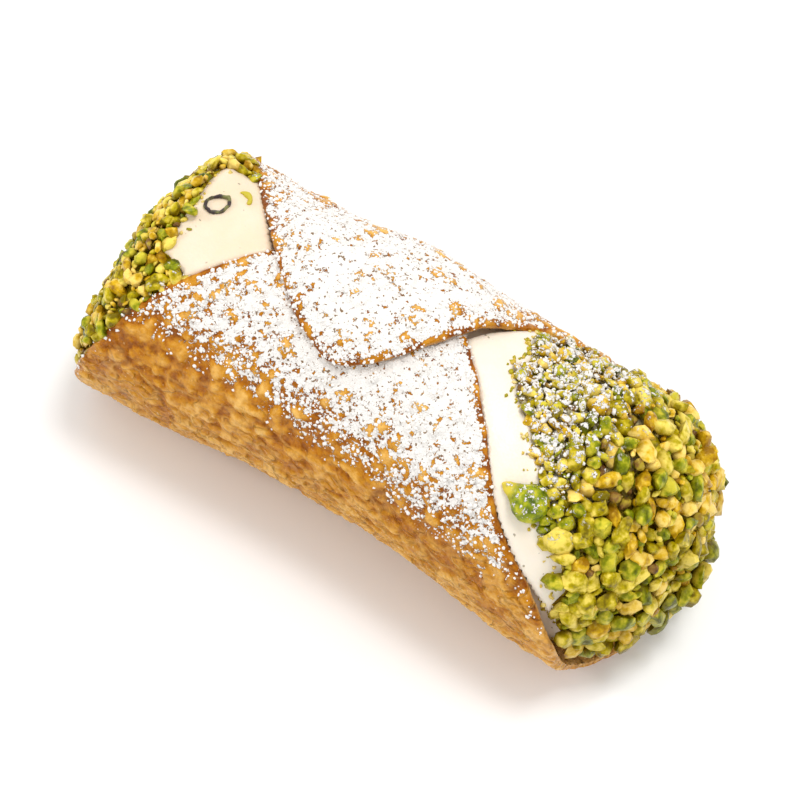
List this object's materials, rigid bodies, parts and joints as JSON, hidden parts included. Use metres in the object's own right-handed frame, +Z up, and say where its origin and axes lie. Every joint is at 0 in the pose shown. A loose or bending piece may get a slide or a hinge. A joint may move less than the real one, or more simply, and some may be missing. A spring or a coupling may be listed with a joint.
{
  "type": "cannoli",
  "caption": "Filled fried pastry tube lying on its side, one flap of dough over the other, sweet cream bare at its ends beside domes of chopped green nuts, the top dusted with fine sugar.",
  "frame": {"origin": "middle of the bounding box, on the surface that the pastry lies on", "axes": "+X along the tube towards the end with the big nut dome, +Y to the back, +Z up"},
  "size_m": [0.0982, 0.0416, 0.0433],
  "materials": {
    "fried_dough": "golden brown blistered fried dough, slightly oily, under a dusting of icing sugar",
    "cream": "smooth ivory ricotta cream, soft sheen",
    "nuts": "chopped pistachio kernels, green to yellow with a few purple-brown skins, slightly glossy"
  },
  "bodies": {
    "root": {"shell": "fried_dough", "cream": "cream", "nut_coat_left": "nuts", "nut_coat_right": "nuts"}
  },
  "joints": []
}
